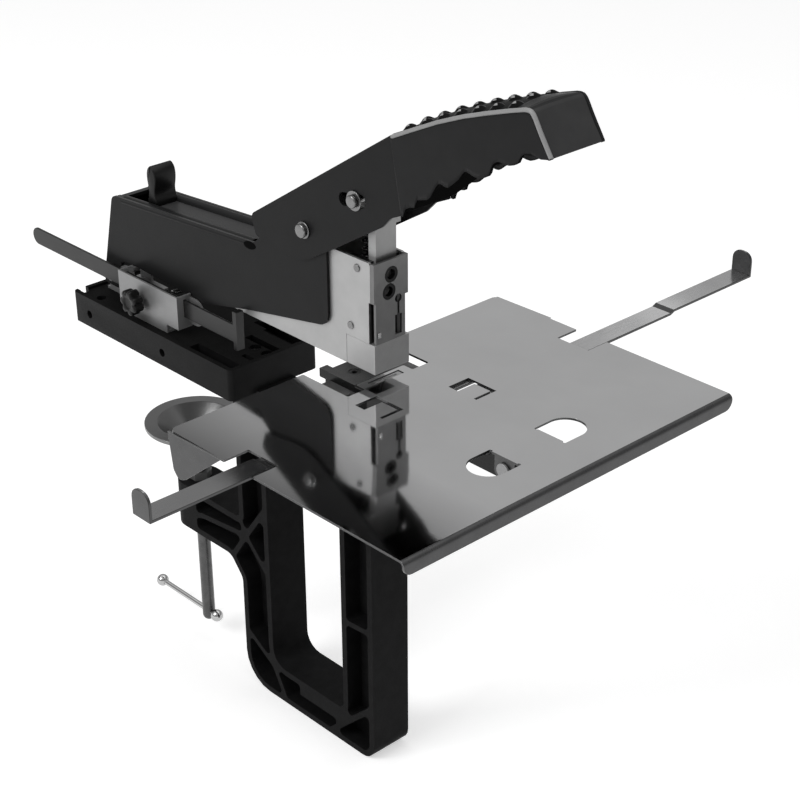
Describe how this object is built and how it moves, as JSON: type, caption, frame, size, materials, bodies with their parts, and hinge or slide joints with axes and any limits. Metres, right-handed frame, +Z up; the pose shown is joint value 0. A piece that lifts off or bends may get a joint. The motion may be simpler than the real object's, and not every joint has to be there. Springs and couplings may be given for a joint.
{
  "type": "saddle stapler",
  "caption": "Table-clamped saddle stapler with a hand lever, deep cast U frame, polished work plate, sliding side guides and a depth rail.",
  "frame": {"origin": "on the clamp screw's axis, at the table top that the base's underside rests on", "axes": "+X forward to the operator, along the arm; +Z up; +Y to the side, with the arm in the plane Y = 0"},
  "size_m": [0.436, 0.4185, 0.4212],
  "materials": {
    "cast_black": "satin paint",
    "dark_steel": "oiled",
    "zinc_steel": "bright zinc",
    "black_spring": "black oxide",
    "grey_iron": "grey paint",
    "chrome": "polished",
    "black_paint": "satin",
    "bright_steel": "ground",
    "polished_steel": "mirror polished",
    "black_plastic": "satin",
    "black_shell": "satin powder coat",
    "head_grey": "satin nickel"
  },
  "bodies": {
    "stand": {"clamp_frame": "cast_black", "base": "cast_black", "base_bolts": "dark_steel", "hinge_bracket": "zinc_steel", "hinge_screws": "zinc_steel", "arm_pivot_pin": "zinc_steel", "lift_spring": "black_spring", "rail_bracket": "zinc_steel", "bracket_screws": "zinc_steel", "clamp_bush": "zinc_steel", "anvil_block": "black_paint", "clinch_insert": "bright_steel", "anvil_screws": "dark_steel", "plate_bracket": "black_paint", "bracket_bolts": "dark_steel", "work_plate": "polished_steel", "plate_pins": "zinc_steel", "guide_keepers": "zinc_steel"},
    "pad": {"clamp_pad": "grey_iron"},
    "screw": {"clamp_screw": "dark_steel", "pad_washer": "chrome"},
    "bar": {"tommy_bar": "chrome", "tommy_bar_balls": "chrome"},
    "left_guide": {"left_guide": "polished_steel"},
    "right_guide": {"right_guide": "polished_steel"},
    "rail": {"depth_rail": "zinc_steel"},
    "knob": {"lock_knob": "black_plastic", "lock_stud": "zinc_steel"},
    "arm": {"body_shell": "black_shell", "head_frame": "head_grey", "head_cap": "head_grey", "head_front_plate": "head_grey", "head_bushes": "black_paint", "head_clip": "bright_steel", "head_rivets": "zinc_steel", "ram_guides": "head_grey", "spring_seat": "head_grey", "staple_rail": "zinc_steel", "latch_pin": "zinc_steel", "return_spring": "black_spring"},
    "pusher": {"pusher": "zinc_steel", "pusher_spring": "bright_steel"},
    "latch": {"magazine_latch": "black_shell"},
    "handle": {"handle_shell": "black_shell", "grip_cover": "black_plastic", "pivot_pin": "chrome", "pivot_clips": "chrome"},
    "ram": {"ram": "head_grey", "driver_blade": "bright_steel", "drive_pin": "chrome", "drive_pin_clips": "chrome"}
  },
  "joints": [
    {"name": "clamp_travel", "type": "slide", "parent": "stand", "child": "pad", "axis": [0, 0, 1], "range_m": [0, 0.045]},
    {"name": "screw_turn", "type": "hinge", "parent": "pad", "child": "screw", "pos_m": [0, 0, 0], "axis": [0, 0, 1], "range_deg": [0, 12960.5]},
    {"name": "bar_slide", "type": "slide", "parent": "screw", "child": "bar", "axis": [1, 0, 0], "range_m": [0, 0.04]},
    {"name": "left_guide_slide", "type": "slide", "parent": "stand", "child": "left_guide", "axis": [0, 1, 0], "range_m": [-0.07, 0.001]},
    {"name": "right_guide_slide", "type": "slide", "parent": "stand", "child": "right_guide", "axis": [0, 1, 0], "range_m": [-0.071, 0]},
    {"name": "rail_slide", "type": "slide", "parent": "stand", "child": "rail", "axis": [1, 0, 0], "range_m": [-0.03, 0.06]},
    {"name": "knob_turn", "type": "hinge", "parent": "stand", "child": "knob", "pos_m": [-0.012, 0, 0.031], "axis": [0, 1, 0], "range_deg": [-270, 0]},
    {"name": "arm_hinge", "type": "hinge", "parent": "stand", "child": "arm", "pos_m": [-0.056, 0, 0.03], "axis": [0, 1, 0], "range_deg": [0, 1.6], "stiffness_Nm_per_rad": 40, "springref_deg": -4.58, "deforming": ["lift_spring"]},
    {"name": "handle_hinge", "type": "hinge", "parent": "arm", "child": "handle", "pos_m": [0.126, 0, 0.112], "axis": [0, 1, 0], "range_deg": [0, 30], "stiffness_Nm_per_rad": 2, "springref_deg": -22.92},
    {"name": "ram_slide", "type": "slide", "parent": "arm", "child": "ram", "axis": [0, 0, -1], "range_m": [0, 0.0206], "deforming": ["return_spring"]},
    {"name": "latch_hinge", "type": "hinge", "parent": "arm", "child": "latch", "pos_m": [-0.017, 0, 0.066], "axis": [0, -1, 0], "range_deg": [0, 25], "stiffness_Nm_per_rad": 0.1, "springref_deg": -17.19},
    {"name": "pusher_slide", "type": "slide", "parent": "arm", "child": "pusher", "axis": [-1, 0, 0], "range_m": [0, 0.11], "stiffness_N_per_m": 20, "springref_m": -0.2}
  ],
  "couplings": [
    {"joint": "screw_turn", "follows": "clamp_travel", "rad_per_m": 5026.5},
    {"joint": "ram_slide", "follows": "handle_hinge", "m_per_rad": 0.039}
  ]
}
